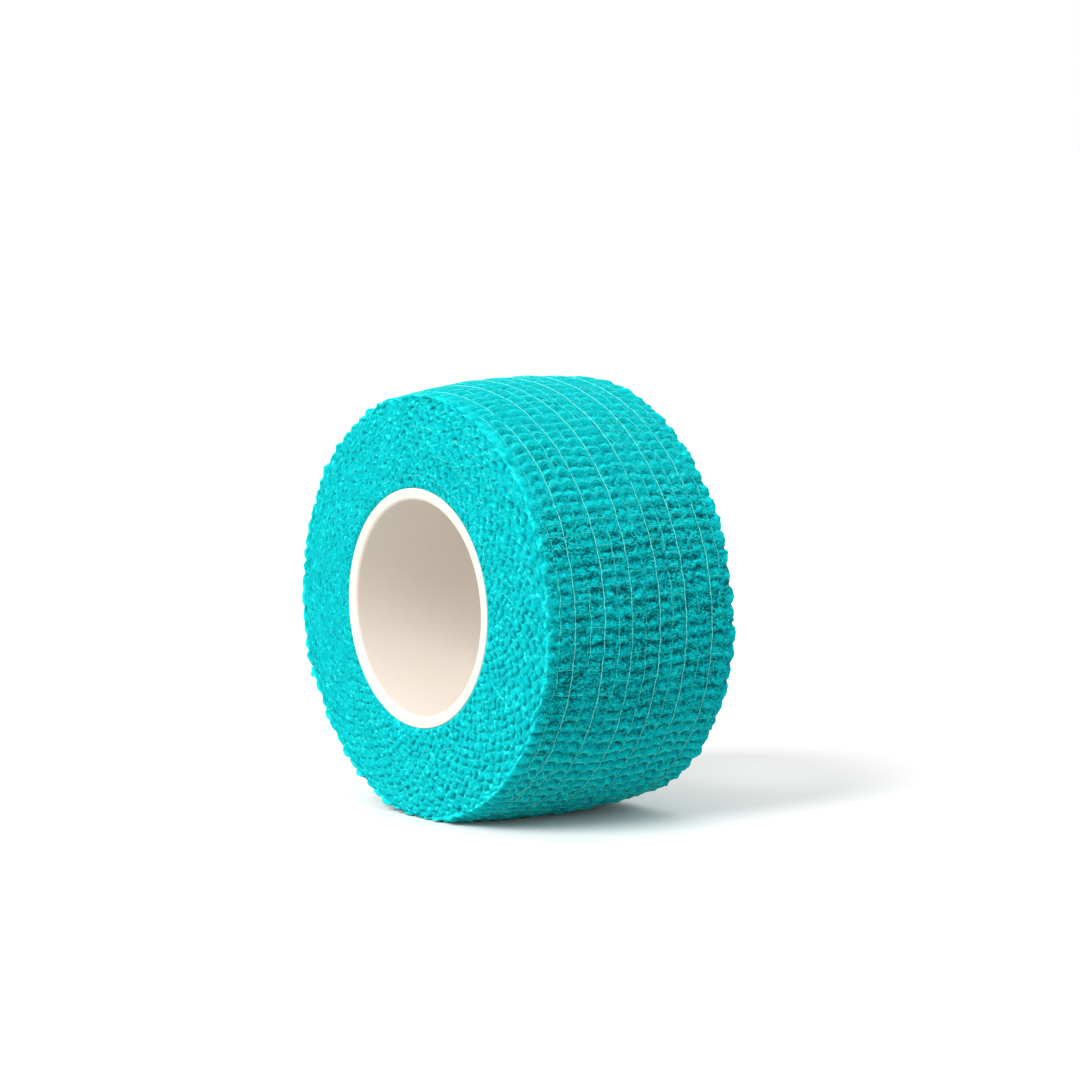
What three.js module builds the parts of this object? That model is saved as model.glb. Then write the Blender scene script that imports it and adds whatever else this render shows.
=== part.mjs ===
// A roll of crinkled elastic bandage tape, wound on a short plastic core and standing on its
// curved side. Millimetres, Z up. The roll's axis runs along Y, its near end face looks along -Y.

import * as THREE from 'three';

// Tape and core sizes
const tapeWidth = 25;
const rimRadius = 22.2;
const coreRadius = 12.6;
const coreWall = 1.3;
const coreGap = 0.3;

// Form of the wound body: fuller in the middle of its width, and a little out of round at the far end
const crownHeight = 0.78;
const rimRound = 0.9;
const farEndRise = 0.86;
const farEndSkew = -1.1;
const restFlatDepth = 0.34;

// Crosswise ribs of the crinkled outer turn, which run together into coarser scallops at its edges.
// The count of columns is a multiple of both counts.
const ribCount = 102;
const ribHeight = 0.3;
const scallopCount = 68;
const scallopHeight = 0.36;
const ribUnevenness = 0.22;
const columnCount = 408;

// Soft edges of the core's ends
const coreInnerEdge = 0.45;
const coreOuterEdge = 0.12;
const coreSegments = 96;

// Colours of the two materials
const bandageColour = 0x10a9b0;
const coreColour = 0xf1ebe1;

const halfWidth = tapeWidth / 2;
const boreRadius = coreRadius - coreWall;

// A wave of round backs that meet in sharp valleys. 2 / pi is the mean of a half wave, so the
// wave adds nothing to the mean radius.
function roundBacks(count, angle) {
  return Math.abs(Math.sin(count * angle / 2)) - 2 / Math.PI;
}

// Height above the mean surface: ribs across the middle of the width, scallops at its edges
function ribRelief(angle, along) {
  const uneven = 1 - ribUnevenness * (0.5 + 0.5 * Math.sin(5 * angle + 7 * along));
  const edgeShare = (2 * along - 1) ** 4;
  const rib = ribHeight * roundBacks(ribCount, angle);
  const scallop = scallopHeight * roundBacks(scallopCount, angle);
  return uneven * (rib * (1 - edgeShare) + scallop * edgeShare);
}

// A point of the wound surface. along runs from 0 at the near face to 1 at the far face,
// inset is how far the point lies inside the outer turn.
function woundPoint(angle, along, inset) {
  const crown = crownHeight * (1 - (2 * along - 1) ** 2);
  const skew = farEndSkew * along * Math.sin(2 * angle);
  const radius = rimRadius + crown + skew + ribRelief(angle, along) - inset;
  return new THREE.Vector3(
    radius * Math.cos(angle),
    -halfWidth + tapeWidth * along,
    radius * Math.sin(angle) + farEndRise * along,
  );
}

// The lowest point of the smooth winding, taken along its underside
function lowestWinding() {
  const steps = 50;
  let lowest = Infinity;
  for (let i = 0; i <= steps; i += 1) {
    const along = i / steps;
    const crown = crownHeight * (1 - (2 * along - 1) ** 2);
    lowest = Math.min(lowest, farEndRise * along - rimRadius - crown);
  }
  return lowest;
}

const floorLevel = lowestWinding() + restFlatDepth;

// Rows of the outer surface, from the near face over the rounded rims to the far face
function surfaceRows() {
  const edge = rimRound / tapeWidth;
  const corner = 1 - Math.SQRT1_2;
  return [
    { along: 0, inset: rimRound },
    { along: edge * corner, inset: rimRound * corner },
    { along: edge, inset: 0 },
    { along: 0.25, inset: 0 },
    { along: 0.5, inset: 0 },
    { along: 0.75, inset: 0 },
    { along: 1 - edge, inset: 0 },
    { along: 1 - edge * corner, inset: rimRound * corner },
    { along: 1, inset: rimRound },
  ];
}

// Joins rings of points into one closed surface: rings[i][j] meets the next ring and the next
// point of its own ring, and the last ring meets the first.
function closedRings(rings) {
  const rowCount = rings.length;
  const positions = rings.flat().flatMap((p) => [p.x, p.y, p.z]);
  const index = [];
  for (let i = 0; i < rowCount; i += 1) {
    const next = (i + 1) % rowCount;
    for (let j = 0; j < columnCount; j += 1) {
      const side = (j + 1) % columnCount;
      const a = i * columnCount + j;
      const b = i * columnCount + side;
      const c = next * columnCount + side;
      const d = next * columnCount + j;
      index.push(a, d, c, a, c, b);
    }
  }
  const geometry = new THREE.BufferGeometry();
  geometry.setAttribute('position', new THREE.Float32BufferAttribute(positions, 3));
  geometry.setIndex(index);
  geometry.computeVertexNormals();
  return geometry;
}

// The wound tape: ribbed outside, flat ends, a round hole that clears the core, and a small
// flat where the soft roll rests.
function bandageGeometry() {
  const angles = Array.from({ length: columnCount }, (_, j) => 2 * Math.PI * j / columnCount);
  const holeRadius = coreRadius + coreGap;
  const holeRing = (y) => angles.map((angle) => new THREE.Vector3(
    holeRadius * Math.cos(angle),
    y,
    holeRadius * Math.sin(angle),
  ));
  const outerRings = surfaceRows().map(({ along, inset }) => angles.map((angle) => {
    const point = woundPoint(angle, along, inset);
    point.z = Math.max(point.z, floorLevel);
    return point;
  }));
  return closedRings([holeRing(-halfWidth), ...outerRings, holeRing(halfWidth)]);
}

// A quarter arc of a profile's corner, as points of radius and height
function cornerArc(centreRadius, centreHeight, size, startAngle) {
  const steps = 3;
  return Array.from({ length: steps + 1 }, (_, i) => {
    const angle = startAngle + (Math.PI / 2) * i / steps;
    return new THREE.Vector2(
      centreRadius + size * Math.cos(angle),
      centreHeight + size * Math.sin(angle),
    );
  });
}

// The core: a moulded ring with its outer edges crisp and its inner edges eased
function coreGeometry() {
  const outer = coreRadius - coreOuterEdge;
  const inner = boreRadius + coreInnerEdge;
  const profile = [
    ...cornerArc(outer, halfWidth - coreOuterEdge, coreOuterEdge, 0),
    ...cornerArc(inner, halfWidth - coreInnerEdge, coreInnerEdge, Math.PI / 2),
    ...cornerArc(inner, -halfWidth + coreInnerEdge, coreInnerEdge, Math.PI),
    ...cornerArc(outer, -halfWidth + coreOuterEdge, coreOuterEdge, 3 * Math.PI / 2),
  ];
  profile.push(profile[0].clone());
  return new THREE.LatheGeometry(profile, coreSegments);
}

function makeBandage() {
  const material = new THREE.MeshStandardMaterial({ color: bandageColour, roughness: 0.85, metalness: 0 });
  const mesh = new THREE.Mesh(bandageGeometry(), material);
  mesh.name = 'bandage';
  return mesh;
}

function makeCore() {
  const material = new THREE.MeshStandardMaterial({ color: coreColour, roughness: 0.4, metalness: 0 });
  const mesh = new THREE.Mesh(coreGeometry(), material);
  mesh.name = 'core';
  return mesh;
}

// The roll stands on the plane z = 0 with the middle of its footprint over the origin
const roll = new THREE.Group();
roll.add(makeBandage(), makeCore());
const extent = new THREE.Box3().setFromObject(roll);
const middle = extent.getCenter(new THREE.Vector3());
roll.position.set(-middle.x, -middle.y, -floorLevel);
roll.updateMatrixWorld(true);

export default roll;
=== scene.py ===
import math

import bpy
import numpy as np
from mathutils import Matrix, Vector


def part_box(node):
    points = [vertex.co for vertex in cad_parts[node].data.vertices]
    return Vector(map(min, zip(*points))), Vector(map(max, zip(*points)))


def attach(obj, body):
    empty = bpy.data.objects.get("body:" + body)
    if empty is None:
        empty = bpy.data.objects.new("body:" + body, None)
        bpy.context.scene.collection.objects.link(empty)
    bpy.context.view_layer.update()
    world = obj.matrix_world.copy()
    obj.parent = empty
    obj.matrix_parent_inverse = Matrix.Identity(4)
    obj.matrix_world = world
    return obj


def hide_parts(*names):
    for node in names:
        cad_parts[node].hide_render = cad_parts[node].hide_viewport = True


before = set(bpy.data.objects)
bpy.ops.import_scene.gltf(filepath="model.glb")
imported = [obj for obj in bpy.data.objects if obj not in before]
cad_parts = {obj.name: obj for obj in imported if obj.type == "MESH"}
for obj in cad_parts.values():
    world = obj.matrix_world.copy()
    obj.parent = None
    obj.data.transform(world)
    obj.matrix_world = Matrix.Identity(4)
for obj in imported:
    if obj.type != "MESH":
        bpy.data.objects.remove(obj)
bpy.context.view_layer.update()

# A roll of crinkled self-adherent bandage tape on a short moulded core. Sizes in millimetres until
# a mesh is made, angles round the roll's axis from +X towards +Z, widths from the near face along +Y.

coreLow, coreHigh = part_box("core")
metresPerMm = 0.001
axisX = (coreLow.x + coreHigh.x) / 2 / metresPerMm
axisZ = (coreLow.z + coreHigh.z) / 2 / metresPerMm
nearFaceY = coreLow.y / metresPerMm
tapeWidth = (coreHigh.y - coreLow.y) / metresPerMm
coreRadius = (coreHigh.x - coreLow.x) / 2 / metresPerMm
fullTurn = 2 * math.pi
noiseLow, noiseHigh = 0.35, 0.65  # nearly all of a noise texture's values lie between these


# small tools

# sRGB hex to linear RGBA: the usual sRGB curve undone.
def linearColour(hexCode):
    channels = np.array([int(hexCode[i:i + 2], 16) for i in (1, 3, 5)]) / 255
    linear = np.where(channels <= 0.04045, channels / 12.92, ((channels + 0.055) / 1.055) ** 2.4)
    return (*linear.tolist(), 1.0)


# A soft step from 0 at low to 1 at high: 3 s^2 - 2 s^3 of the share of the way.
def smoothStep(low, high, value):
    share = np.clip((value - low) / (high - low), 0, 1)
    return share * share * (3 - 2 * share)


# A bell of height 1: exp of minus the squared distance over the spread.
def bell(away, spread):
    return np.exp(-(away / spread) ** 2)


# Round backs that meet in sharp valleys, one for each pi of phase: a power of |sin|.
def roundBacks(phase, sharpness):
    return np.abs(np.sin(phase)) ** sharpness


# Soft random relief, mean 0 and spread 1: white noise blurred by a Gaussian in Fourier space.
# blur is its sigma in grid steps down the rows and along the columns, and the field wraps round.
def noiseField(shape, blur, seed):
    white = np.random.default_rng(seed).standard_normal(shape)
    rowWaves = np.fft.fftfreq(shape[0])[:, None] * blur[0]
    columnWaves = np.fft.rfftfreq(shape[1])[None, :] * blur[1]
    gain = np.exp(-2 * math.pi ** 2 * (rowWaves ** 2 + columnWaves ** 2))
    field = np.fft.irfft2(np.fft.rfft2(white) * gain, s=shape)
    return (field - field.mean()) / field.std()


# A sum of such fields. Each has an amount, its blur in mm down the rows and along the columns, and
# a seed; steps are the grid's own steps in mm.
def randomRelief(fields, shape, steps, firstSeed=0):
    return sum(amount * noiseField(shape, (down / steps[0], along / steps[1]), firstSeed + seed)
               for amount, down, along, seed in fields)


# Points of a turned form: x and z from the angle and the radius about the roll's axis.
def polarPoints(angle, radius, y):
    angle, radius, y = np.broadcast_arrays(angle, radius, y)
    return np.stack([axisX + radius * np.cos(angle), y, axisZ + radius * np.sin(angle)], axis=-1)


# Nothing reaches below the surface that the roll stands on.
def pressFlat(points):
    points[..., 2] = np.maximum(points[..., 2], 0)
    return points


# One mesh object at the origin from points in millimetres and an index for each face.
def makePiece(name, points, faces, material, attributes=None):
    mesh = bpy.data.meshes.new(name)
    mesh.from_pydata(points.reshape(-1, 3) * metresPerMm, [], faces)
    mesh.polygons.foreach_set("use_smooth", np.ones(len(mesh.polygons), bool))
    for key, values in (attributes or {}).items():
        layer = mesh.attributes.new(key, "FLOAT", "POINT")
        layer.data.foreach_set("value", np.ascontiguousarray(values, np.float32).ravel())
    mesh.materials.append(material)
    mesh.update()
    piece = bpy.data.objects.new(name, mesh)
    bpy.context.scene.collection.objects.link(piece)
    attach(piece, "root")
    print(f"{name}: {len(mesh.polygons) * 2} triangles at most")
    return piece


# Unit normals of a grid that wraps round along its columns, on the side of the given vectors.
def gridNormals(points, outward):
    around = np.roll(points, -1, axis=1) - np.roll(points, 1, axis=1)
    normals = np.cross(np.gradient(points, axis=0), around)
    normals /= np.linalg.norm(normals, axis=-1, keepdims=True)
    return normals if (normals * outward).sum() > 0 else -normals


# Quads of a grid that closes on itself both ways, so that it bounds a ring-shaped solid.
def ringFaces(rows, columns):
    row, column = np.meshgrid(np.arange(rows), np.arange(columns), indexing="ij")
    nextRow = (row + 1) % rows
    nextColumn = (column + 1) % columns
    corners = [row * columns + column, row * columns + nextColumn,
               nextRow * columns + nextColumn, nextRow * columns + column]
    return np.stack(corners, axis=-1).reshape(-1, 4)


# Turns the faces round where the solid that they bound comes out with a negative volume.
def outwards(points, faces):
    flat = points.reshape(-1, 3)
    a, b, c, d = (flat[faces[:, i]] - flat.mean(axis=0) for i in range(4))
    volume = (a * np.cross(b, c)).sum() + (a * np.cross(c, d)).sum()
    return faces if volume > 0 else faces[:, ::-1]


# A piece from rings of points, each joined to the next and the last to the first.
def ringPiece(name, points, material, attributes=None):
    faces = outwards(points, ringFaces(*points.shape[:2]))
    return makePiece(name, points, faces.tolist(), material, attributes)


# Tubes along many paths at once: round each path point lies a ring of the given radius, in the
# plane of the outward direction and of its cross product with the path's run. Open tubes get a
# face on each end. paths and outward are (tubes, steps, 3), radii (tubes, steps).
def tubePiece(name, paths, outward, radii, sides, closed, material):
    count, steps = paths.shape[:2]
    if closed:
        run = np.roll(paths, -1, axis=1) - np.roll(paths, 1, axis=1)
    else:
        run = np.gradient(paths, axis=1)
    run /= np.linalg.norm(run, axis=-1, keepdims=True)
    across = np.cross(run, outward)
    across /= np.linalg.norm(across, axis=-1, keepdims=True)
    upward = np.cross(across, run)
    turn = np.arange(sides) * fullTurn / sides
    ring = (np.cos(turn)[:, None] * upward[:, :, None] + np.sin(turn)[:, None] * across[:, :, None])
    points = pressFlat(paths[:, :, None] + ring * radii[:, :, None, None])
    tube, step, side = np.meshgrid(np.arange(count), np.arange(steps if closed else steps - 1),
                                   np.arange(sides), indexing="ij")
    nextStep, nextSide = (step + 1) % steps, (side + 1) % sides
    index = [(tube * steps + s) * sides + k
             for s, k in ((step, side), (nextStep, side), (nextStep, nextSide), (step, nextSide))]
    faces = np.stack(index, axis=-1).reshape(-1, 4).tolist()
    if not closed:
        start = (np.arange(count)[:, None] * steps) * sides + np.arange(sides)[None, :]
        faces += start.tolist()
        faces += (start + (steps - 1) * sides)[:, ::-1].tolist()
    return makePiece(name, points, faces, material)


# materials

# A node of a material's tree, with its settings and the sockets that feed it. Returns its output.
def addNode(tree, kind, settings=None, links=None, output=0):
    node = tree.nodes.new("ShaderNode" + kind)
    for key, value in (settings or {}).items():
        if key in node.inputs.keys() or isinstance(key, int):
            node.inputs[key].default_value = value
        else:
            setattr(node, key, value)
    for key, source in (links or {}).items():
        tree.links.new(source, node.inputs[key])
    return node.outputs[output]


# A new material, its tree and its shader, which gets the plain values.
def newMaterial(name, values):
    material = bpy.data.materials.new(name)
    material.use_nodes = True
    tree = material.node_tree
    shader = tree.nodes["Principled BSDF"]
    for socket, value in values.items():
        shader.inputs[socket].default_value = value
    return material, tree, shader


# Object coordinates in millimetres. A pattern is longer across the roll where stretch is below 1.
def placeInMm(tree, stretch=1):
    place = addNode(tree, "TexCoord", output="Object")
    return addNode(tree, "Mapping", {"Scale": (1000, 1000 * stretch, 1000)}, {"Vector": place})


# Links a colour and a height to the shader, the height as bumps of the look's depth.
def dress(tree, shader, look, colour, height):
    bump = addNode(tree, "Bump", {"Strength": look["bumpStrength"],
                                  "Distance": look["bumpDepth"] * metresPerMm}, {"Height": height})
    tree.links.new(colour, shader.inputs["Base Color"])
    tree.links.new(bump, shader.inputs["Normal"])


nonwovenLook = {
    "body": "#00BFC5",  # on the crests, free of painted shade, and where the web is thicker
    "paintedShade": "#007A82",  # painted shade down between two ribs and in the end faces' pits
    "poreShade": "#003F46",  # painted shade in the gaps between the fibres
    "bright": "#2AF2EA",  # single fibres that catch the light
    "fleck": 0.15,  # mm between fibres that lie out and catch the light
    "fleckLevels": (0.56, 0.66),  # of the fibres' noise, where a fleck starts and is full
    "fleckShine": 0.75,
    "closedShine": 0.35,  # share of that shine where the web is closed
    "openAt": 0.8,  # openness from which all of it shows
    "porePitch": 0.22,  # mm between pores round the roll
    "poreLevels": (0.33, 0.56),  # of the pores' noise, in a closed and in an open web
    "poreEdge": 0.09,  # how far below its level a pore is fully open
    "poreDark": 0.8,
    "poreDepth": 1.3,  # relief above which no pore opens
    "stretch": 0.60,  # fibres and pores are longer across the tape than round the roll
    "clump": 1.2,  # mm, soft patches where the web is thicker
    "clumpTone": 0.08,
    "bumpDepth": 0.05,  # mm
    "bumpStrength": 1.0,
    "poreShare": 0.8,  # of the pores' noise in the bump, beside the fibres'
    "shader": {
        "Roughness": 0.9,
        "Specular IOR Level": 0.04,
        "Subsurface Weight": 0.55,
        "Subsurface Radius": (0.2, 1.0, 1.0),  # red light spreads least
        "Subsurface Scale": 0.22 * metresPerMm,
        "Sheen Weight": 0.08,
        "Sheen Roughness": 0.5,
        "Sheen Tint": linearColour("#00FFFA"),
    },
}


# Spunlace nonwoven with a self-adherent finish: matt, fibrous, a little translucent, so the
# light softens in it and single fibres shine.
def crinkledNonwoven():
    look = nonwovenLook
    material, tree, shader = newMaterial("crinkled nonwoven", look["shader"])
    inMm, across = placeInMm(tree), placeInMm(tree, look["stretch"])
    # relief carries painted shade and light: dark in the valleys and pits, pale on the crests, edges and
    # rims
    relief, openness, glint = (
        addNode(tree, "Attribute", {"attribute_name": name}, output="Fac")
        for name in ("relief", "openness", "glint"))
    fibres, pores, clumps = (
        addNode(tree, "TexNoise", {"Scale": 1 / size, "Detail": 2.0, "Roughness": 0.6},
                {"Vector": source}, "Fac")
        for size, source in ((look["fleck"], across), (look["porePitch"], across),
                             (look["clump"], inMm)))
    # a pore opens where its noise is low, at a level that rises with openness and towards the valleys
    depth = addNode(tree, "Math", {"operation": "SUBTRACT", 0: look["poreDepth"]}, {1: relief})
    thin = addNode(tree, "Math", {"operation": "MULTIPLY"}, {0: openness, 1: depth})
    low, high = look["poreLevels"]
    level = addNode(tree, "MapRange", {"To Min": low, "To Max": high}, {"Value": thin})
    below = addNode(tree, "Math", {"operation": "SUBTRACT"}, {0: level, 1: pores})
    poreMask = addNode(tree, "MapRange", {"From Max": look["poreEdge"], "To Max": look["poreDark"]},
                       {"Value": below})
    # single fibres shine where their noise is high, more so where the web is open, and edges
    # that glint carry an attribute
    low, high = look["fleckLevels"]
    fleck = addNode(tree, "MapRange", {"From Min": low, "From Max": high, "To Max": look["fleckShine"]},
                    {"Value": fibres})
    catch = addNode(tree, "MapRange", {"From Max": look["openAt"], "To Min": look["closedShine"]},
                    {"Value": openness})
    shine = addNode(tree, "Math", {"operation": "MULTIPLY_ADD", "use_clamp": True},
                    {0: fleck, 1: catch, 2: glint})
    patch = addNode(tree, "MapRange",
                    {"From Min": noiseLow, "From Max": noiseHigh, "To Min": -look["clumpTone"],
                     "To Max": look["clumpTone"]}, {"Value": clumps})
    # painted shade: relief and the clumps' own tone set the colour between the painted shade and the body
    shadeAndClumps = addNode(tree, "Math", {"operation": "ADD", "use_clamp": True}, {0: relief, 1: patch})
    body = addNode(tree, "Mix", {"data_type": "RGBA", 6: linearColour(look["paintedShade"]),
                                 7: linearColour(look["body"])}, {0: shadeAndClumps}, 2)
    lit = addNode(tree, "Mix", {"data_type": "RGBA", 7: linearColour(look["bright"])},
                  {0: shine, 6: body}, 2)
    # painted shade in the pores
    colour = addNode(tree, "Mix", {"data_type": "RGBA", 7: linearColour(look["poreShade"])},
                     {0: poreMask, 6: lit}, 2)
    # height = fibres + a share of the pores' noise - pore mask
    web = addNode(tree, "Math", {"operation": "MULTIPLY_ADD", 1: look["poreShare"]},
                  {0: pores, 2: fibres})
    height = addNode(tree, "Math", {"operation": "SUBTRACT"}, {0: web, 1: poreMask})
    dress(tree, shader, look, colour, height)
    return material


yarnLook = {
    "twist": 0.3125,  # mm between two turns of the yarn
    "shade": (0.45, 0.72, 0.72),  # the yarn's darker side, as shares of its colour
    "bumpDepth": 0.03,  # mm
    "bumpStrength": 0.6,
    "shader": {
        "Specular IOR Level": 0.12,
        "Sheen Roughness": 0.35,
        "Sheen Tint": linearColour("#8CFFF8"),
    },
}


# Textured yarn with a slight gloss: the twist shows as fine light and dark along it.
def threadMaterial(name, hexCode, roughness, sheen):
    look = yarnLook
    values = {**look["shader"], "Roughness": roughness, "Sheen Weight": sheen}
    material, tree, shader = newMaterial(name, values)
    twist = addNode(tree, "TexNoise", {"Scale": 1 / look["twist"], "Detail": 2.0},
                    {"Vector": placeInMm(tree)}, "Fac")
    share = addNode(tree, "MapRange", {"From Min": noiseLow, "From Max": noiseHigh}, {"Value": twist})
    light = linearColour(hexCode)
    shade = (*(light[i] * look["shade"][i] for i in range(3)), 1)
    colour = addNode(tree, "Mix", {"data_type": "RGBA", 6: shade, 7: light}, {0: share}, 2)
    dress(tree, shader, look, colour, twist)
    return material


plasticLook = {
    "tones": ("#E2DACE", "#E6DCD2"),
    "flowMark": 6.25,  # mm between flow marks, longer across the roll's width
    "flowStretch": 0.3,
    "grain": 1 / 3,  # mm
    "gloss": (0.34, 0.46),  # roughness between and on the marks
    "bumpDepth": 0.02,  # mm
    "bumpStrength": 0.35,
    "shader": {
        "IOR": 1.49,  # below polystyrene's 1.59, matched to the core's soft gloss
        "Subsurface Weight": 0.12,
        "Subsurface Scale": 0.8 * metresPerMm,
    },
}


# Moulded polystyrene in warm white: smooth, with a soft gloss and faint flow marks.
def mouldedPlastic():
    look = plasticLook
    material, tree, shader = newMaterial("moulded polystyrene", look["shader"])
    flow = placeInMm(tree, look["flowStretch"])
    marks = addNode(tree, "TexNoise", {"Scale": 1 / look["flowMark"], "Detail": 3.0},
                    {"Vector": flow}, "Fac")
    grain = addNode(tree, "TexNoise", {"Scale": 1 / look["grain"], "Detail": 2.0},
                    {"Vector": flow}, "Fac")
    first, second = look["tones"]
    colour = addNode(tree, "Mix", {"data_type": "RGBA", 6: linearColour(first),
                                   7: linearColour(second)}, {0: marks}, 2)
    low, high = look["gloss"]
    gloss = addNode(tree, "MapRange", {"From Min": 0.3, "From Max": 0.7, "To Min": low,
                                       "To Max": high}, {"Value": marks})
    tree.links.new(gloss, shader.inputs["Roughness"])
    dress(tree, shader, look, colour, grain)
    return material


nonwoven = crinkledNonwoven()
warpYarn = threadMaterial("covered elastic yarn", "#88FBF3", roughness=0.5, sheen=0.6)
fineYarn = threadMaterial("fine elastic yarn", "#62F6EE", roughness=0.55, sheen=0.4)
weftYarn = threadMaterial("weft filament", "#5CFAF2", roughness=0.6, sheen=0.15)
looseFibre = threadMaterial("loose fibre", "#38DAD8", roughness=0.6, sheen=0.4)
polystyrene = mouldedPlastic()
print("materials ready")


# the outer turn: ribs, pillows between the threads, scalloped rims

# Values in threes are for the upper part of the roll, its sides and its lower part.
winding = {
    "rimRadius": 22.2,
    "crownHeight": 0.78,  # fuller in the middle of the width
    "nearSetBack": 0.75,  # mm that the near rim lies behind the core's end
    "nearRound": 0.20,  # the near rim is crisp, the far one soft
    "farRound": 0.9,
    "nearLip": ((0.50, 0.62), (0.22, 0.52), (0.05, 0.40)),  # mm inside the rim and mm deep
    "farLip": ((0.1, 1.02), (0.5, 1.20)),
    "farEndRise": 0.86,  # the far end is a little out of round, as in the solid
    "farEndSkew": -1.1,
    "innerRadius": 19.4,
    "columns": 1224,  # 12 to a rib
    "rowStep": 0.13,
    "upperFrom": (0.30, 0.75),  # sines of the angle between which the upper part begins
    "lowerFrom": (0.35, 0.75),
    "topFrom": (0.7, 0.97),
    # ribs
    "ribCount": 102,
    "ribHeight": (0.345, 0.255, 0.75),
    "ribBow": (0.4422, 0.198, 0.66),  # mm that a rib arches up between two threads
    "ribLean": 0.05,  # radians that a row drifts round the roll across the width
    "leanFrom": math.radians(25),
    "crestRise": (0.6, 0, -0.5),  # radians of phase that a crest lies above its rib's middle
    "crestWidth": 0.10,  # share of a rib
    "belowMean": 0.6,  # share of a rib's height that lies below the mean surface
    "lessOverTop": 0.45,  # share of its height that it loses where the tape lies taut
    "lessByRim": (0.40, 0.15, 0.15),
    "byRimReach": 1.3,
    # scallops of the two rims
    "nearScallops": 72,
    "nearCrowding": 0.17,  # they lie closer on the left than on the right
    "nearScallopHeight": 0.31,
    "nearScallopPower": 0.9,
    "nearScallopReach": (0.78, 0.38, 0.38),
    "farScallops": 68,
    "farScallopHeight": 0.38,
    "farScallopPower": 0.85,
    "farScallopReach": 1.1,
    # small relief, in mm
    "dentDepth": (0.03, 0.10, 0.03),
    "dentLevels": (0.9, 2.5),  # of the dents' noise, where a dent starts and is deepest
    "crinkle": (0.60, 0.95, 0.85),  # share of the fine crinkle that shows
    "smoothTop": 0.4,  # share of it that is lost over the top, and at the near rim
    "smoothRim": 0.5,
    "lumpHeight": 0.05,
    "knotHeight": 0.07,
    # angle, spread and change: the near rim is calm on the left and loose at the upper right
    "lumpiness": ((math.radians(180), math.radians(60), -0.6),
                  (math.radians(50), math.radians(42), 0.6)),
    "reliefFade": (0.66, 1.76),  # depth below the surface over which the relief fades out
    # how far the rims stand out of the end faces: usual, and by scallops, lumps and knots
    "frill": (0.12, 0.22, 0.06, 0.09),
    "frillReach": 0.35,
    "frillFade": (0.09, 0.99),
    "farFrill": (0.12, 0.16, 0.05),
    "farFrillReach": 1.0,
    # the tape's cut end, on the side away from the picture
    "endAngle": math.radians(205),
    "endTaper": math.radians(50),
    "endEdge": 0.008,  # radians
    "tapeThickness": 0.36,
    # painted shade and light run from 0 in the valleys to 1 on the crests, shifted by height on the roll
    # and paler at the rims
    "darkest": -0.27,  # mm of relief where the painted shade is darkest
    "shadeSpan": 0.44,
    # painted shade at the sides and painted light below
    "shadeAndLight": (0, -0.09, 0.09),
    # painted light at the near rim, beside it in the upper part, and at the far rim
    "rimPaintedLight": 0.5,
    "rimPaintedLightReach": 0.4,
    "byRimPaintedLight": (0.12, 0, 0),
    "byRimPaintedLightReach": 1.1,
    "farRimPaintedLight": 0.2,
    # flecks of light on crests, rims and single fibres
    "crestGlint": (0.35, 0.1225, 0.35),
    "crestShare": (0.6, 1.3),  # usual and greatest share of it
    "rimGlint": 0.36,
    "rimGlintReach": 0.45,
    "rimShare": (0.5, 1.4),
    "knotShare": 0.3,
    "dotGlint": (0.2, 0, 0.32),
    "dotLevels": (1.0, 2.0),
    # how open the web is, from 0 to 1: open web shows more pores and flecks, and the sides are set most
    # open, which darkens them as painted shade
    "openness": (0.31, 0.80, 0.52),
    "closedByRim": 0.3,
    "closedReach": 1.2,
    "closedFarRim": 0.4,
    "closedOverTop": 0.21,
    # random relief: amount, blur in mm across the width and round the roll, seed
    "noise": {
        "waver": [(0.26, 2.4, 3.0, 1), (0.17, 0.6, 0.8, 2)],
        "bow": [(0.25, 0.9, 0.7, 14)],
        "swell": [(0.20, 0.55, 0.5, 4), (0.12, 2.5, 3.0, 5)],
        "nearScallops": [(0.3, 1.5, 1.6, 3)],
        "farScallops": [(0.18, 3.0, 2.2, 3)],
        "dents": [(1, 0.36, 0.22, 6)],
        "crinkle": [(0.018, 0.26, 0.15, 7), (0.036, 0.14, 0.09, 8), (0.036, 0.09, 0.07, 9)],
        "lumps": [(1, 0.22, 0.22, 10)],
        "knots": [(1, 0.45, 0.5, 18)],
        "bulk": [(0.06, 4.0, 4.5, 11)],
        "cutEnd": [(0.004, 0.6, 50, 13)],
        "frill": [(0.08, 0.15, 0.20, 15)],
        "crestGlint": [(0.6, 0.3, 0.15, 16)],
        "rimGlint": [(0.5, 0.15, 0.18, 17)],
        "dots": [(1, 0.09, 0.09, 20)],
        "openness": [(0.12, 1.0, 1.0, 12)],
    },
}
warp = {
    "pitch": 3.54,  # mm between two strong threads, with a fine one between them
    "drift": -1.5,  # mm that the threads wander towards the near face over the top
    "driftAt": math.radians(100),
    "driftSpread": math.radians(28),
    "pullReach": 0.42,  # mm beside a thread that it draws down
    "knot": 0.5,  # how much thicker a thread is in a valley
    # pull is the share of the ribs' height that a thread takes, tautness how far it spans the
    # valleys; sway, zigzag, rise and dip are in mm
    "strong": {"first": 3.79, "count": 6, "radius": 0.028, "steps": 816, "sides": 5, "pull": 0.8,
               "tautness": 0.68, "sway": 0.03, "zigzag": 0.035, "rise": 0.01, "dip": 0.03, "seed": 21},
    "fine": {"first": 2.02, "count": 7, "radius": 0.022, "steps": 612, "sides": 4, "pull": 0.65,
             "tautness": 0.55, "sway": 0.05, "zigzag": 0.05, "rise": -0.05, "dip": 0.08, "seed": 22},
}


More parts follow.
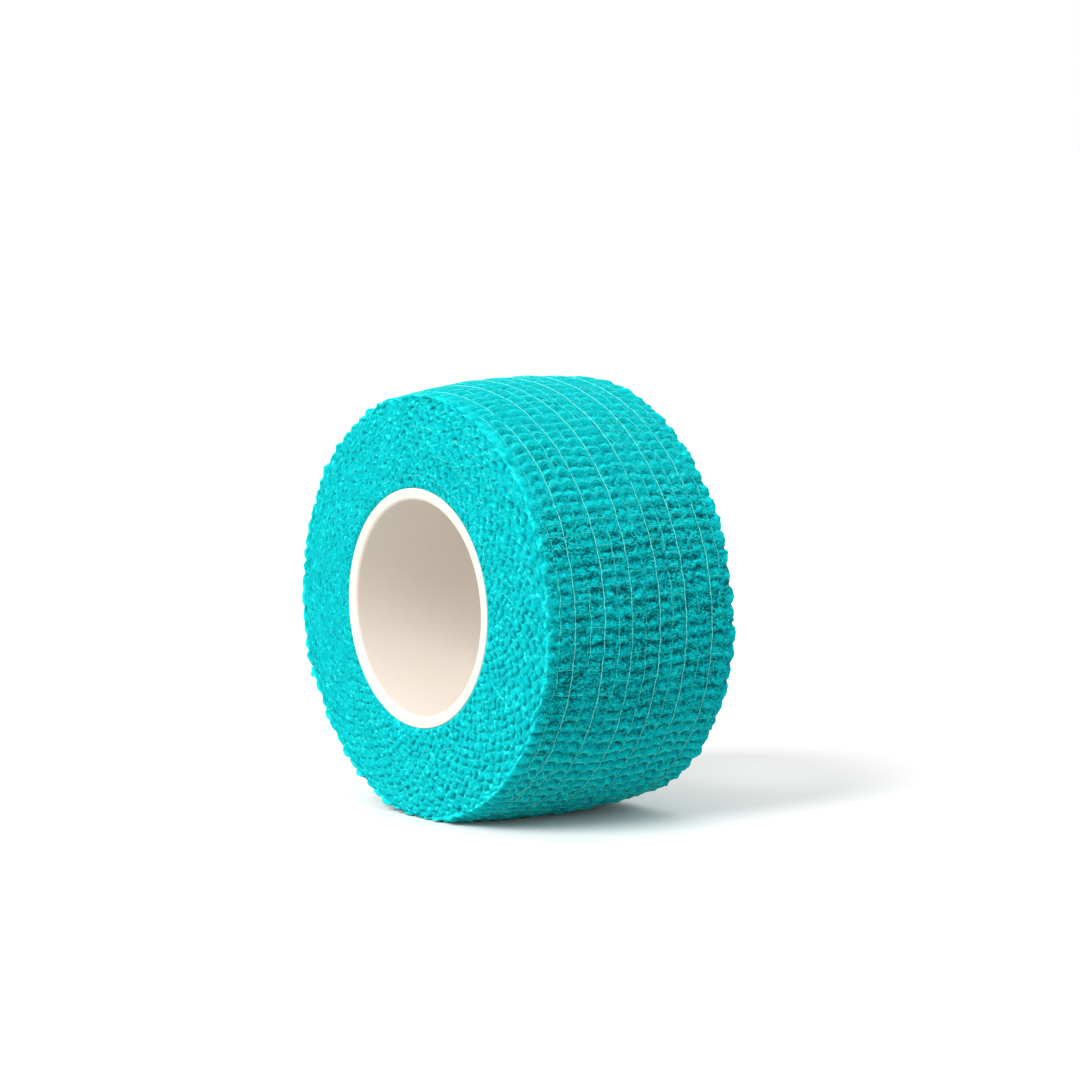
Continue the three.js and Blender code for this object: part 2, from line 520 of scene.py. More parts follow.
# Where the threads of one kind run, in mm from the near face.
def threadPlaces(kind):
    return kind["first"] + warp["pitch"] * np.arange(kind["count"])


strongAt = threadPlaces(warp["strong"])
threadsAt = np.sort(np.concatenate([strongAt, threadPlaces(warp["fine"])]))


# A value for the upper part, the sides and the lower part, blended by the sine of the angle.
def byHeight(values, angle):
    upper = smoothStep(*winding["upperFrom"], np.sin(angle))
    lower = smoothStep(*winding["lowerFrom"], -np.sin(angle))
    return values[0] * upper + values[1] * (1 - upper - lower) + values[2] * lower


# How far the threads wander across the width at an angle: a bell over the top of the roll.
def threadDrift(angle):
    away = (angle - warp["driftAt"] + math.pi) % fullTurn - math.pi
    return warp["drift"] * bell(away, warp["driftSpread"])


# The tape's profile across its width: out over the near face's lip, a quarter round, straight
# across, a quarter round and in again. Gives the width and the depth below the outer surface.
def windingRows():
    near, far, back = winding["nearRound"], winding["farRound"], winding["nearSetBack"]
    nearLip, farLip = np.array(winding["nearLip"]).T, np.array(winding["farLip"]).T
    nearBend = np.linspace(0, math.pi / 2, 6)
    farBend = np.linspace(math.pi / 2, 0, 11)
    steps = int(round((tapeWidth - back - near - far) / winding["rowStep"]))
    width = np.concatenate([back + nearLip[0], back + near * (1 - np.cos(nearBend)),
                            np.linspace(back + near, tapeWidth - far, steps + 1)[1:-1],
                            tapeWidth - far * (1 - np.cos(farBend)), tapeWidth - farLip[0]])
    depth = np.concatenate([nearLip[1], near * (1 - np.sin(nearBend)), np.zeros(steps - 1),
                            far * (1 - np.sin(farBend)), farLip[1]])
    return width[:, None], depth[:, None]


# Radius = mean winding + ribs + pillows + crinkle, less the depth below the surface.
# Mean winding: a crown that is a parabola across the width, and sin(2 angle) growing to the far end.
# Ribs: a power of |sin| of the angle, which leans, wavers and arches up between two threads.
def outerTurn():
    w = winding
    width, depth = windingRows()
    fromRim, fromFar = width - w["nearSetBack"], tapeWidth - width
    angle = (np.arange(w["columns"]) * fullTurn / w["columns"])[None, :]
    shape = (len(width), w["columns"])
    share = width / tapeWidth
    columnStep = fullTurn * w["rimRadius"] / w["columns"]

    def noise(name):
        return randomRelief(w["noise"][name], shape, (w["rowStep"], columnStep))

    top = smoothStep(*w["topFrom"], np.sin(angle))
    lumpy = np.prod([1 + change * bell(angle - at, spread) for at, spread, change in w["lumpiness"]],
                    axis=0)
    # where a point lies between its two threads: 0 at one, 1 at the other
    place = width - threadDrift(angle)
    bay = np.clip(np.searchsorted(threadsAt, place) - 1, 0, len(threadsAt) - 2)
    inBay = np.clip((place - threadsAt[bay]) / (threadsAt[bay + 1] - threadsAt[bay]), 0, 1)
    arch = 1 - (2 * inBay - 1) ** 2
    # each row of ribs drifts a little round the roll across the width
    lean = w["ribLean"] * np.sin(2 * (angle - w["leanFrom"])) * (share - 0.5)
    bow = byHeight(w["ribBow"], angle) * arch * (1 + noise("bow"))
    phase = w["ribCount"] / 2 * (angle - lean - bow / w["rimRadius"]) + noise("waver")
    # a rib's crest lies high in it above, and low in it below
    lopsided = phase - byHeight(w["crestRise"], angle) * np.sin(phase) ** 2
    ribs = roundBacks(lopsided, 1.0)

    nearEdge = bell(fromRim, byHeight(w["nearScallopReach"], angle))
    farEdge = bell(fromFar, w["farScallopReach"])
    edge = nearEdge + farEdge
    someEdge = edge + 1e-6  # never 0, to divide by
    nearPhase = w["nearScallops"] / 2 * (angle - w["nearCrowding"] * np.sin(angle)) + noise("nearScallops")
    farPhase = w["farScallops"] / 2 * angle + noise("farScallops")
    scallops = (roundBacks(nearPhase, w["nearScallopPower"]) * nearEdge
                + roundBacks(farPhase, w["farScallopPower"]) * farEdge) / someEdge

    pull = sum(kind["pull"] * bell(place - at, warp["pullReach"])
               for kind in (warp["strong"], warp["fine"]) for at in threadPlaces(kind))
    ribHeight = (byHeight(w["ribHeight"], angle) * (1 + noise("swell")) * (1 - pull)
                 * (1 - w["lessOverTop"] * top)
                 * (1 - byHeight(w["lessByRim"], angle) * bell(fromRim, w["byRimReach"])))
    scallopHeight = (w["nearScallopHeight"] * nearEdge + w["farScallopHeight"] * farEdge) / someEdge
    relief = (ribHeight * (ribs - w["belowMean"]) * (1 - edge)
              + scallopHeight * (scallops - w["belowMean"]) * edge)
    shallowest, deepest = w["dentLevels"]
    dents = np.clip(noise("dents") - shallowest, 0, deepest - shallowest)
    sunk = byHeight(w["dentDepth"], angle) * dents * (1 - edge)
    crinkle = (noise("crinkle") * (byHeight(w["crinkle"], angle) - w["smoothTop"] * top)
               * (1 - w["smoothRim"] * nearEdge))
    lumps, knots = noise("lumps"), noise("knots")
    relief = relief - sunk + crinkle + (w["lumpHeight"] * lumps + w["knotHeight"] * knots) * lumpy * edge
    # painted shade and light: the valleys are dark and the crests pale, shifted by height on the roll; the
    # edges are thin and pass the light, so painted light makes them as pale as the tops of the ribs
    shadeAndLight = (np.clip((relief - w["darkest"]) / w["shadeSpan"] + byHeight(w["shadeAndLight"], angle), 0, 1)
            + w["rimPaintedLight"] * np.exp(-fromRim / w["rimPaintedLightReach"])
            + byHeight(w["byRimPaintedLight"], angle) * bell(fromRim, w["byRimPaintedLightReach"])
            + w["farRimPaintedLight"] * farEdge * np.clip(1 + lumps / 2, 0, 2))
    # the tape's cut end: its last turn lies on the one below and tapers into the winding
    past = (w["endAngle"] + noise("cutEnd") - angle) % fullTurn
    onTop = w["tapeThickness"] * smoothStep(0, w["endEdge"], past) * bell(past, w["endTaper"])
    relief = relief + onTop + noise("bulk")

    mean = (w["rimRadius"] + w["crownHeight"] * (1 - (2 * share - 1) ** 2)
            + w["farEndSkew"] * share * np.sin(2 * angle))
    fade = np.interp(depth, w["reliefFade"], (1, 0))
    radius = mean + relief * fade - depth
    # the rims stand out of the end faces by a few tenths, unevenly
    usual, byScallops, byLumps, byKnots = w["frill"]
    frill = usual + lumpy * (byScallops * (scallops - 0.5) + byLumps * lumps + byKnots * knots
                             + noise("frill"))
    frill = frill * np.exp(-fromRim / w["frillReach"]) * np.interp(depth, w["frillFade"], (1, 0))
    usual, byScallops, byLumps = w["farFrill"]
    farFrill = usual + byScallops * (scallops - 0.5) + byLumps * lumps
    y = nearFaceY + width - frill + farFrill * np.exp(-fromFar / w["farFrillReach"]) * fade
    points = polarPoints(angle, radius, y)
    points[..., 2] += w["farEndRise"] * share

    crest = bell(lopsided / math.pi % 1 - 0.5, w["crestWidth"]) * (1 - edge)
    usual, most = w["crestShare"]
    glint = (byHeight(w["dotGlint"], angle) * smoothStep(*w["dotLevels"], noise("dots"))
             + byHeight(w["crestGlint"], angle) * crest * np.clip(usual + noise("crestGlint"), 0, most))
    usual, most = w["rimShare"]
    glint = glint + (w["rimGlint"] * np.exp(-fromRim / w["rimGlintReach"])
                     * np.clip(usual + noise("rimGlint") + w["knotShare"] * knots, 0, most))
    closed = (w["closedByRim"] * bell(fromRim, w["closedReach"]) + w["closedFarRim"] * farEdge
              + w["closedOverTop"] * top)
    openness = np.clip(byHeight(w["openness"], angle) + noise("openness") - closed, 0, 1)
    # the painted shade and light go out as the attribute relief
    return {
        "points": pressFlat(points), "width": width[:, 0], "angle": angle[0], "phase": phase,
        "relief": np.clip(shadeAndLight, 0, 1), "openness": openness, "glint": glint, "shape": shape,
    }


turn = outerTurn()
turn["normals"] = gridNormals(turn["points"], turn["points"] - np.array([axisX, 0, axisZ]))
print("outer turn worked out:", turn["shape"])


# The fractional row of the outer turn at a distance from the near face, without the lips.
def rowAt(width):
    lip, rows = len(winding["nearLip"]), turn["shape"][0]
    return np.interp(width, turn["width"][lip:rows - lip], np.arange(lip, rows - lip))


# A closed ring of nonwoven: a skin, and two rear rows that repeat the attributes of its edges.
def skinPiece(name, skin, rear, attributes):
    attributes = {key: np.concatenate([values, values[[-1, 0]]]) for key, values in attributes.items()}
    return ringPiece(name, np.concatenate([skin, rear]), nonwoven, attributes)


# The outer turn in four closed rings that part under strong threads, where no seam shows.
def outerBands():
    cuts = [int(round(float(rowAt(strongAt[k])))) for k in (1, 3, 5)]
    cuts = [0] + cuts + [turn["shape"][0] - 1]
    for number, (first, last) in enumerate(zip(cuts[:-1], cuts[1:]), start=1):
        rows = slice(first, last + 1)
        skin = turn["points"][rows]
        inner = polarPoints(turn["angle"][None, :], winding["innerRadius"],
                            skin[[-1, 0], :, 1].mean(axis=1, keepdims=True))
        band = skinPiece(f"outer_turn_{number}", skin, inner,
                         {key: turn[key][rows] for key in ("relief", "openness", "glint")})
        if number == 1:
            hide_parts("bandage")


outerBands()


# Points at fractional rows and columns of a grid that wraps round along its columns, weighted
# from the four nearest grid points and raised by lift along the normal; and those normals.
def onSurface(points, normals, row, column, lift):
    rows, columns = points.shape[:2]
    row = np.clip(row, 0, rows - 1.001)
    r0, c0 = np.floor(row).astype(int), np.floor(column).astype(int)
    fr, fc = (row - r0)[..., None], (column - c0)[..., None]
    mixed = []
    for grid in (points, normals):
        a, b = grid[r0, c0 % columns], grid[r0, (c0 + 1) % columns]
        c, d = grid[r0 + 1, c0 % columns], grid[r0 + 1, (c0 + 1) % columns]
        mixed.append((a * (1 - fc) + b * fc) * (1 - fr) + (c * (1 - fc) + d * fc) * fr)
    normal = mixed[1] / np.linalg.norm(mixed[1], axis=-1, keepdims=True)
    return mixed[0] + normal * np.asarray(lift)[..., None], normal


# The same on the outer turn.
def onTurn(row, column, lift):
    return onSurface(turn["points"], turn["normals"], row, column, lift)


# Elastic threads round the roll. Each runs at a height between the surface below it and the
# highest rib nearby, as a taut thread does, and thickens into a knot in each valley.
def warpThreads(name, kind, material):
    rng = np.random.default_rng(kind["seed"])
    steps, columns = kind["steps"], turn["shape"][1]
    column = np.arange(steps) * columns / steps
    angle = column * fullTurn / columns
    perRib = steps // winding["ribCount"]
    reach = range(-perRib, perRib + 1)
    zigzag = np.cos(np.arange(steps) * math.pi / perRib)
    inValley = np.abs(np.cos(winding["ribCount"] / 2 * angle)) ** 10
    paths, outward, radii = [], [], []
    for place in threadPlaces(kind):
        drift = noiseField((1, steps), (0, perRib * 2.5), rng.integers(1 << 30))[0]
        dip = noiseField((1, steps), (0, perRib * 0.8), rng.integers(1 << 30))[0]
        row = rowAt(place + threadDrift(angle) + kind["sway"] * drift + kind["zigzag"] * zigzag)
        surface = onTurn(row, column, np.zeros(steps))[0]
        spoke = surface - np.array([axisX, 0, axisZ])
        spoke[:, 1] = 0
        height = np.linalg.norm(spoke, axis=1)
        spoke /= height[:, None]
        highest = np.max([np.roll(height, k) for k in reach], axis=0)
        highest = np.mean([np.roll(highest, k) for k in reach], axis=0)
        lift = kind["tautness"] * (highest - height) + kind["rise"] + kind["dip"] * dip
        paths.append(surface + spoke * lift[:, None])
        outward.append(spoke)
        radii.append(kind["radius"] * (1 + warp["knot"] * inValley + 0.12 * drift))
    return tubePiece(name, np.array(paths), np.array(outward), np.array(radii), kind["sides"], True,
                     material)


warpThreads("elastic_threads", warp["strong"], warpYarn)
warpThreads("fine_threads", warp["fine"], fineYarn)


weft = {
    "radius": 0.022,
    "steps": 9,
    "share": (0.62, 0.24, 0.97),  # of the places that hold a line: above, at the sides, below
    "crest": (0.63, 0.5, 0.39),  # where in a rib its crest lies
    "follow": (0.85, 0, 1),  # how fully a line follows its rib
    "straight": 0.75,  # how straight it is where it doesn't
    "slant": 1.2,  # columns that a straight line climbs, and its spread
    "slantSpread": 0.8,
    "endSpread": 0.05,  # mm
    "lift": (0.005, 0.03),  # mm above the web, least and most
    "lowerLift": (0, 0, 0.01),
    "thickness": (1, 1, 1.5),
    "seed": 31,
}


# Weft filaments between neighbouring threads: one for each bay and rib that has one. Each lies
# along the rib's crest, partly sunk in the web, and so arches up as the rib does.
def weftLines():
    rng = np.random.default_rng(weft["seed"])
    columns = turn["shape"][1]
    perRib = columns / winding["ribCount"]
    bay, rib = np.meshgrid(np.arange(len(threadsAt) - 1), np.arange(winding["ribCount"]), indexing="ij")
    bay, rib = bay.ravel(), rib.ravel()
    angle = (rib + 0.5) * fullTurn / winding["ribCount"]
    kept = rng.random(len(bay)) < byHeight(weft["share"], angle)
    bay, rib, angle = bay[kept], rib[kept][:, None], angle[kept][:, None]
    each = (len(bay), 1)
    along = np.linspace(0, 1, weft["steps"])[None, :]
    start = threadsAt[bay][:, None] + rng.normal(0, weft["endSpread"], each)
    end = threadsAt[bay + 1][:, None] + rng.normal(0, weft["endSpread"], each)
    width = start + (end - start) * along + threadDrift(angle)
    # the crest's column at each width: the rib's own column, moved until its phase is the crest's
    row = rowAt(width)
    column = (rib + 0.5) * perRib * np.ones_like(width)
    for _ in range(3):
        phase = turn["phase"][np.round(row).astype(int), np.round(column).astype(int) % columns]
        off = (rib + byHeight(weft["crest"], angle)) * math.pi - phase
        off = (off + math.pi / 2) % math.pi - math.pi / 2
        column = column + off / math.pi * perRib * 0.8
    # at the roll's side a line is straighter than its rib, and crosses it at a slant
    unbent = 1 - byHeight(weft["follow"], angle)
    slant = unbent * (rng.normal(0, weft["slantSpread"], each) - weft["slant"] * along)
    straight = column[:, :1] * (1 - along) + column[:, -1:] * along + slant
    column = column + (straight - column) * weft["straight"] * unbent
    lift = rng.uniform(*weft["lift"], each) + byHeight(weft["lowerLift"], angle)
    path, normal = onTurn(row, column, lift * np.ones_like(width))
    path[:, 1:-1] = (path[:, :-2] + 2 * path[:, 1:-1] + path[:, 2:]) / 4
    radii = weft["radius"] * rng.uniform(0.7, 1.1, each) * byHeight(weft["thickness"], angle)
    return tubePiece("weft_filaments", path, normal, radii * np.ones_like(width), 4, False, weftYarn)


weftLines()


loose = {
    "count": 3000,
    "length": 0.45,
    "radius": 0.020,
    "steps": 4,
    "stand": (0.02, 0.11),  # mm that a fibre bows up, least and most
    "sink": 0.01,  # mm that its ends lie in the web
    "rimRows": 6,  # rows at the rims that hold no fibre
    "seed": 41,
}


# Fibre ends that stand proud of the web: short bowed hairs that leave the surface at one end
# and come back to it, longer across the tape than round it.
def looseFibres():
    rng = np.random.default_rng(loose["seed"])
    rows, columns = turn["shape"]
    count, rimRows = loose["count"], loose["rimRows"]
    row = rng.uniform(rimRows, rows - rimRows, (count, 1))
    column = rng.uniform(0, columns, (count, 1))
    heading = rng.normal(0, 0.8, (count, 1))
    reach = loose["length"] * rng.uniform(0.4, 1.3, (count, 1))
    along = np.linspace(0, 1, loose["steps"])[None, :]
    columnStep = fullTurn * winding["rimRadius"] / columns
    curl = rng.normal(0, 0.25, (count, 1)) * np.sin(math.pi * along)
    row = row + reach * (np.cos(heading) * along + curl * 0.4) / winding["rowStep"]
    column = column + reach * (np.sin(heading) * along + curl) / columnStep
    lift = np.sin(math.pi * along) * rng.uniform(*loose["stand"], (count, 1)) - loose["sink"]
    path, normal = onTurn(np.clip(row, rimRows - 1, rows - rimRows), column, lift)
    radii = loose["radius"] * np.ones((count, loose["steps"])) * rng.uniform(0.7, 1.1, (count, 1))
    return tubePiece("loose_fibres", path, normal, radii, 3, False, looseFibre)


looseFibres()
print("threads and fibres ready")


# the end faces: the edges of all the turns, knobbly and pitted

endFace = {
    "frills": 15,  # edges that stand out, about every second turn
    "waves": 65.5,  # crinkles to a turn; the half puts neighbours out of step
    "wave": 0.23,  # mm that an edge leans either way
    "jitter": 0.9,  # radians that its crinkles are out of step
    "uneven": 0.08,  # mm
    "stand": 0.10,  # mm that an edge stands out
    "edgeWidth": 0.09,
    "dome": 0.14,  # mm that the tape bulges between two edges
    "pit": 0.18,  # mm, at the outer side of each bulge
    "pitAt": 0.19,  # mm inside the next edge
    "pitWidth": 0.13,
    "pitGaps": (0.7, 1.4),  # shares of the usual gap at which a pit starts and is full
    "tightSpread": math.radians(50),  # the left side is wound tighter, so its relief is low
    "fallPower": 1.6,
    "coreGap": 0.04,
    "quietReach": 0.35,  # mm beside the core where the relief fades and sinks
    "quietSink": 0.10,
    "thickness": 2.0,
    "noiseRadius": 17.5,  # where the sizes round the roll are true
    # painted shade and light: tone usual, of an edge, of a bulge, of a pit, and for each mm of grain
    "tones": (0.59, 0.25, 0.2, -0.7, 2.2),
    "openness": 0.16,
    "dotLevels": (0.9, 1.9),
    "edgeGlint": 0.14,
    "edgeDots": 0.4,
    "dotGlint": 0.42,
    # tuck is how far the face stops short of the rim's outermost line, in mm
    "near": {"end": 0, "outward": -1, "tuck": 0.25, "setBack": winding["nearSetBack"],
             "columns": 1020, "rows": 80, "seed": 50},
    "far": {"end": 1, "outward": 1, "tuck": 0.85, "setBack": 0, "columns": 680, "rows": 48, "seed": 60},
    "noise": {
        "jitter": [(1, 1, 2.6, 0)],
        "uneven": [(1, 1, 0.5, 1)],
        "warp": [(0.04, 0.12, 0.12, 2), (0.07, 0.5, 0.5, 3)],
        "frill": [(0.5, 0.15, 0.15, 4)],
        "pit": [(0.5, 0.25, 0.25, 5)],
        "grain": [(0.020, 0.15, 0.15, 6), (0.018, 0.08, 0.08, 7)],
        "bulk": [(0.08, 2.0, 3.0, 8)],
        "openness": [(0.1, 1.0, 1.0, 9)],
        "dots": [(1, 0.10, 0.10, 10)],
    },
}


# A ring whose face shows the turns' edges, between the core and the rim. The edges are a spiral
# that leans to and fro as a sine of the tape's run, so neighbours draw apart and meet by turns. Height
# along the roll's axis = thin edge + half sine bulge - pit beside the next edge, and noise. The near
# face falls back towards its rim by a power of the way out. Its rear is plain.
def endFaceRing(name, side):
    e, w = endFace, winding
    columns, outward = side["columns"], side["outward"]
    shape = (side["rows"], columns)
    y = nearFaceY + tapeWidth * side["end"]
    angle = (np.arange(columns) * fullTurn / columns)[None, :]
    innerRadius = coreRadius + e["coreGap"]
    inside = polarPoints(angle, innerRadius, y)
    skew = w["farEndSkew"] * side["end"] * np.sin(2 * angle)
    rim = polarPoints(angle, w["rimRadius"] + skew - side["tuck"], y)
    rim[..., 2] += w["farEndRise"] * side["end"]
    between = np.linspace(0, 1, side["rows"])[:, None, None]
    face = inside * (1 - between) + rim * between
    face[..., 1:2] -= outward * side["setBack"] * between ** e["fallPower"]
    radius = np.hypot(face[..., 0] - axisX, face[..., 2] - axisZ)
    steps = ((w["rimRadius"] - innerRadius) / (side["rows"] - 1), fullTurn * e["noiseRadius"] / columns)

    def noise(name, form=shape):
        return randomRelief(e["noise"][name], form, steps, side["seed"])

    # the radius of every edge at every angle, along one spiral
    turns = e["frills"] + 2
    pitch = (w["rimRadius"] - coreRadius) / e["frills"]
    run = np.arange(turns)[:, None] + angle / fullTurn
    jitter, uneven = (noise(name, (1, turns * columns)).reshape(turns, columns)
                      for name in ("jitter", "uneven"))
    edges = (coreRadius + (run - 1) * pitch + e["uneven"] * uneven
             + e["wave"] * np.sin(fullTurn * e["waves"] * run + e["jitter"] * jitter))
    gap, inGap = np.full(shape, pitch), np.zeros(shape)
    warped = radius + noise("warp")
    for lower, upper in zip(edges[:-1], edges[1:]):
        here = (warped >= lower) & (warped < upper)
        gap = np.where(here, upper - lower, gap)
        inGap = np.where(here, (warped - lower) / np.maximum(upper - lower, 0.1), inGap)
    wide = np.clip(gap / pitch, 0.2, 1.7)
    frill = bell(np.minimum(inGap, 1 - inGap) * gap, e["edgeWidth"]) * (1 + noise("frill"))
    dome = np.sin(math.pi * inGap) * wide - 0.6
    pit = bell((1 - inGap) * gap - e["pitAt"], e["pitWidth"]) * smoothStep(*e["pitGaps"], wide)
    pit = pit * np.clip(1 + noise("pit"), 0, 2)
    tight = bell(np.abs(angle - math.pi), e["tightSpread"])
    grain = noise("grain") * (1 - 0.5 * tight)
    # painted shade and light: edges and bulges paler, pits darker, the grain shaded as its relief
    usual, ofEdge, ofDome, ofPit, ofGrain = e["tones"]
    relief = np.clip(usual + ofEdge * frill + ofDome * dome + ofPit * pit + ofGrain * grain, 0, 1)
    height = e["stand"] * frill + e["dome"] * dome - e["pit"] * pit + grain + noise("bulk")
    quiet = smoothStep(0, e["quietReach"], radius - innerRadius)
    height = height * (0.25 + 0.75 * quiet) * (1 - 0.3 * tight) - e["quietSink"] * (1 - quiet)
    face[..., 1] += outward * height
    rear = face[[-1, 0]].copy()
    rear[..., 1] = y - outward * e["thickness"]
    dots = smoothStep(*e["dotLevels"], noise("dots"))
    glint = np.clip(frill, 0, 2) * (e["edgeGlint"] + e["edgeDots"] * dots) + e["dotGlint"] * dots
    openness = np.clip(e["openness"] + noise("openness"), 0, 1)
    skinPiece(name, pressFlat(face.copy()), pressFlat(rear),
              {"relief": relief, "openness": openness, "glint": glint * (1 - 0.4 * tight)})
    return face


bareThreads = {
    "radius": 0.022,
    "steps": 7,
    "dash": (0.35, 1.0),  # mm, shortest and longest
    "gap": (0.15, 0.9),
    "lift": 0.02,  # mm above the face at a dash's ends, and more in its middle
    "bow": 0.05,
    "seed": 71,
    # radius in mm, start and end in degrees, share of the dashes that show
    "arcs": [(13.95, 20, 118, 0.85), (16.5, 38, 112, 0.6), (19.0, 40, 100, 0.5),
             (21.0, 30, 75, 0.45), (15.2, 230, 330, 0.25), (18.1, 120, 250, 0.2)],
}


# Short lengths of elastic thread that lie bare on the near face, in broken arcs along the
# turns: each arc has a radius, a start and an end, and holds dashes with gaps between them.
def threadEnds(face):
    rng = np.random.default_rng(bareThreads["seed"])
    rows, columns = face.shape[:2]
    outward = np.array([0.0, -1.0, 0.0])
    dashes = []
    for radius, start, end, share in bareThreads["arcs"]:
        along = math.radians(start)
        while along < math.radians(end):
            length = rng.uniform(*bareThreads["dash"]) / radius
            if rng.random() < share:
                dashes.append((radius + rng.normal(0, 0.05), along, length))
            along += length + rng.uniform(*bareThreads["gap"]) / radius
    radius, start, length = (np.array(column)[:, None] for column in zip(*dashes))
    along = np.linspace(0, 1, bareThreads["steps"])[None, :]
    angle = start + length * along
    radius = radius + 0.02 * np.sin(5 * along + radius * 40) + 0 * angle
    reach = winding["rimRadius"] - endFace["near"]["tuck"] - coreRadius
    row = (radius - coreRadius) / reach * (rows - 1)
    column = angle / fullTurn * columns
    lift = bareThreads["lift"] + bareThreads["bow"] * np.sin(math.pi * along) + 0 * angle
    path = onSurface(face, gridNormals(face, outward), row, column, lift)[0]
    path[:, 1:-1] = (path[:, :-2] + path[:, 1:-1] + path[:, 2:]) / 3
    radii = bareThreads["radius"] * np.ones(path.shape[:2])
    return tubePiece("bare_threads", path, np.broadcast_to(outward, path.shape), radii, 4, False,
                     warpYarn)


nearFace = endFaceRing("near_face", endFace["near"])
endFaceRing("far_face", endFace["far"])
threadEnds(nearFace)


# the core: a short moulded tube with eased inner edges

coreSizes = {"wall": 1.3, "innerEdge": 0.45, "outerEdge": 0.12, "segments": 240, "edgeSteps": 7}


# A closed profile of radius and width turned about the roll's axis: four quarter rounds joined
# by straights, the inner ones larger.
def coreTube():
    c = coreSizes
    corners = [(coreRadius, tapeWidth, c["outerEdge"], 0), (coreRadius - c["wall"], tapeWidth,
               c["innerEdge"], 1), (coreRadius - c["wall"], 0, c["innerEdge"], 2),
               (coreRadius, 0, c["outerEdge"], 3)]
    radius, width = [], []
    for cornerRadius, cornerWidth, size, quarter in corners:
        bend = (quarter + np.linspace(0, 1, c["edgeSteps"])) * math.pi / 2
        inR = cornerRadius - size if quarter in (0, 3) else cornerRadius + size
        inW = cornerWidth - size if quarter in (0, 1) else cornerWidth + size
        radius.append(inR + size * np.cos(bend))
        width.append(inW + size * np.sin(bend))
    radius, width = np.concatenate(radius)[:, None], np.concatenate(width)[:, None]
    angle = (np.arange(c["segments"]) * fullTurn / c["segments"])[None, :]
    tube = ringPiece("core_tube", polarPoints(angle, radius, nearFaceY + width), polystyrene)
    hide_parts("core")
    return tube


coreTube()
print("end faces and core ready")


# floor, light and camera

studio = {
    "floor": "#B4B7B7",  # what the floor gives back to the roll; the camera sees it whiter
    "floorSeen": "#F8F8F7",
    "floorHalf": 12.0,  # metres
    "floorDrop": 0.00005,  # metres below the roll, so the two don't lie in one plane
    "sky": "#FFFFFF",
    "skyLight": 0.91,  # the sky's strength as a light; the camera sees it plain white
    "keyStrength": 2.78,
    "keyFrom": (0.10, -0.80, 0.62),
    "fillStrength": 0.10,
    "fillFrom": (0.9, 0.25, 0.1),
    "softness": 32,  # degrees that each light spans
}
photoCamera = {
    "azimuth": 53.811,  # degrees; 0 looks along +Y
    "elevation": 6.352,
    "distance": 444.0,  # mm from the middle of the roll
    "focalPixels": 4176.3,  # focal length in pixels of the 1080 pixel frame
    "rollPixel": (512.5, 600.6),  # where the middle of the roll lies in that frame
    "framePixels": 1080,
    "sensor": 36,
    "clip": (0.01, 50),  # metres
}


# A square of 24 m, just under the roll. The camera sees it paler than it lights the roll.
def paleFloor():
    material, tree, shader = newMaterial("pale studio floor", {"Roughness": 0.7})
    seen = addNode(tree, "LightPath", output="Is Camera Ray")
    colour = addNode(tree, "Mix", {"data_type": "RGBA", 6: linearColour(studio["floor"]),
                                   7: linearColour(studio["floorSeen"])}, {0: seen}, 2)
    tree.links.new(colour, shader.inputs["Base Color"])
    mesh = bpy.data.meshes.new("studio_floor")
    half = studio["floorHalf"]
    mesh.from_pydata([(-half, -half, 0), (half, -half, 0), (half, half, 0), (-half, half, 0)], [],
                     [(0, 1, 2, 3)])
    mesh.materials.append(material)
    floor = bpy.data.objects.new("studio_floor", mesh)
    floor.location.z = -studio["floorDrop"]
    bpy.context.scene.collection.objects.link(floor)


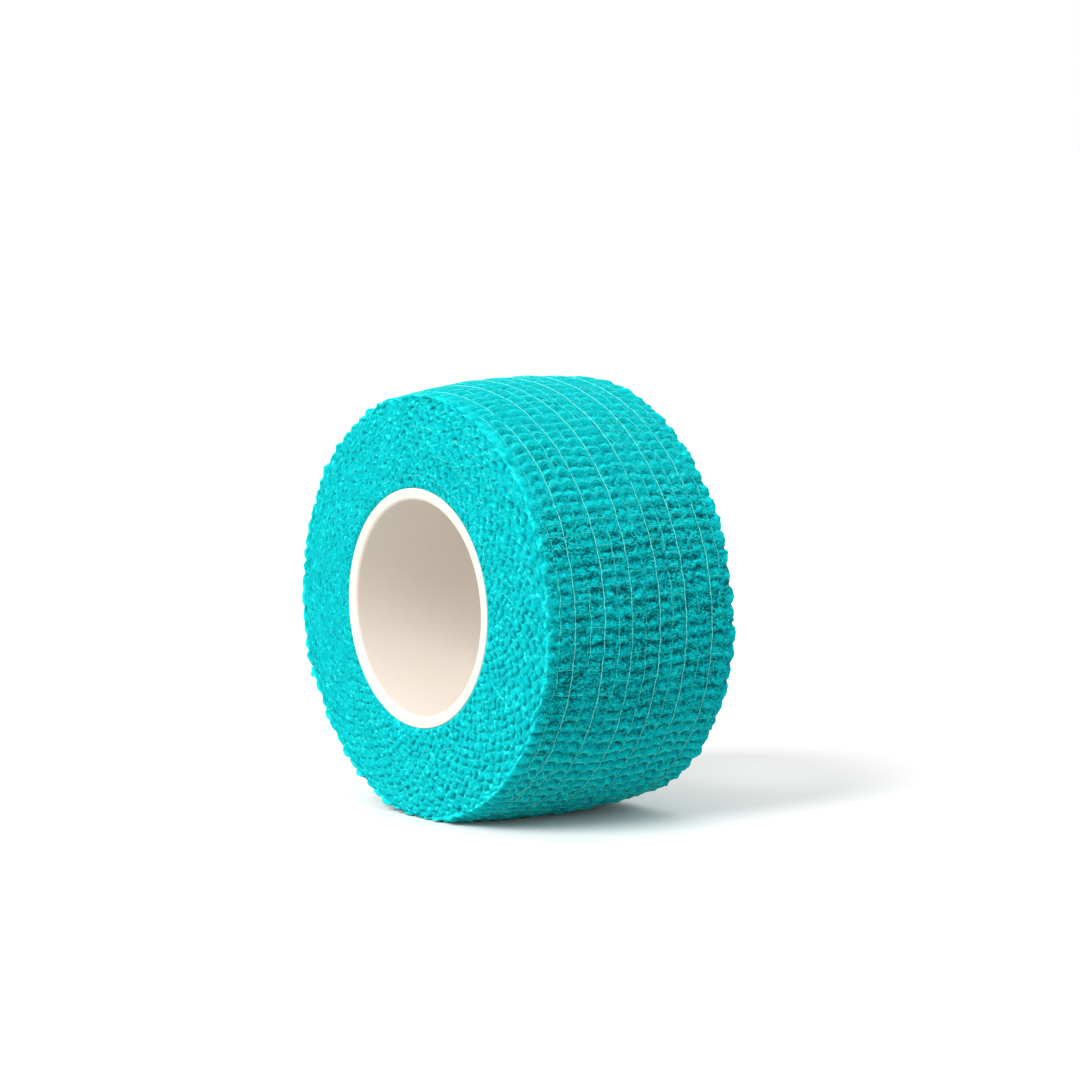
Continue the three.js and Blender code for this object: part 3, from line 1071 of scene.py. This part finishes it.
# A distant light from a direction, as wide as the settings say.
def softLight(name, direction, strength):
    data = bpy.data.lights.new(name, "SUN")
    data.energy = strength
    data.angle = math.radians(studio["softness"])
    light = bpy.data.objects.new(name, data)
    light.location = Vector(direction).normalized()
    light.rotation_mode = "QUATERNION"
    light.rotation_quaternion = (-light.location).to_track_quat("-Z", "Y")
    bpy.context.scene.collection.objects.link(light)


# A white sky that lights a little less than the camera sees.
def studioSky():
    world = bpy.data.worlds.new("studio sky")
    world.use_nodes = True
    tree = world.node_tree
    sky = tree.nodes["Background"]
    sky.inputs["Color"].default_value = linearColour(studio["sky"])
    seen = addNode(tree, "LightPath", output="Is Camera Ray")
    strength = addNode(tree, "MapRange", {"To Min": studio["skyLight"]}, {"Value": seen})
    tree.links.new(strength, sky.inputs["Strength"])
    bpy.context.scene.world = world
    bpy.context.scene.view_settings.view_transform = "Standard"


# Aimed at the middle of the roll and then turned by the least angle that brings that point to
# its place in the picture.
def photographCamera():
    p = photoCamera
    data = bpy.data.cameras.new("photo camera")
    data.sensor_width = p["sensor"]
    data.lens = p["sensor"] * p["focalPixels"] / p["framePixels"]
    data.clip_start, data.clip_end = p["clip"]
    camera = bpy.data.objects.new("photo camera", data)
    azimuth, elevation = math.radians(p["azimuth"]), math.radians(p["elevation"])
    back = Vector((math.sin(azimuth) * math.cos(elevation),
                   -math.cos(azimuth) * math.cos(elevation), math.sin(elevation)))
    middle = Vector((axisX, nearFaceY + tapeWidth / 2, axisZ)) * metresPerMm
    half = p["framePixels"] / 2
    ray = Vector((p["rollPixel"][0] - half, half - p["rollPixel"][1], -p["focalPixels"]))
    camera.location = middle + back * p["distance"] * metresPerMm
    camera.rotation_mode = "QUATERNION"
    aim = (-back).to_track_quat("-Z", "Y")
    camera.rotation_quaternion = aim @ ray.normalized().rotation_difference(Vector((0, 0, -1)))
    bpy.context.scene.collection.objects.link(camera)
    bpy.context.scene.camera = camera


paleFloor()
softLight("key light", studio["keyFrom"], studio["keyStrength"])
softLight("fill light", studio["fillFrom"], studio["fillStrength"])
studioSky()
photographCamera()
print("stage ready")
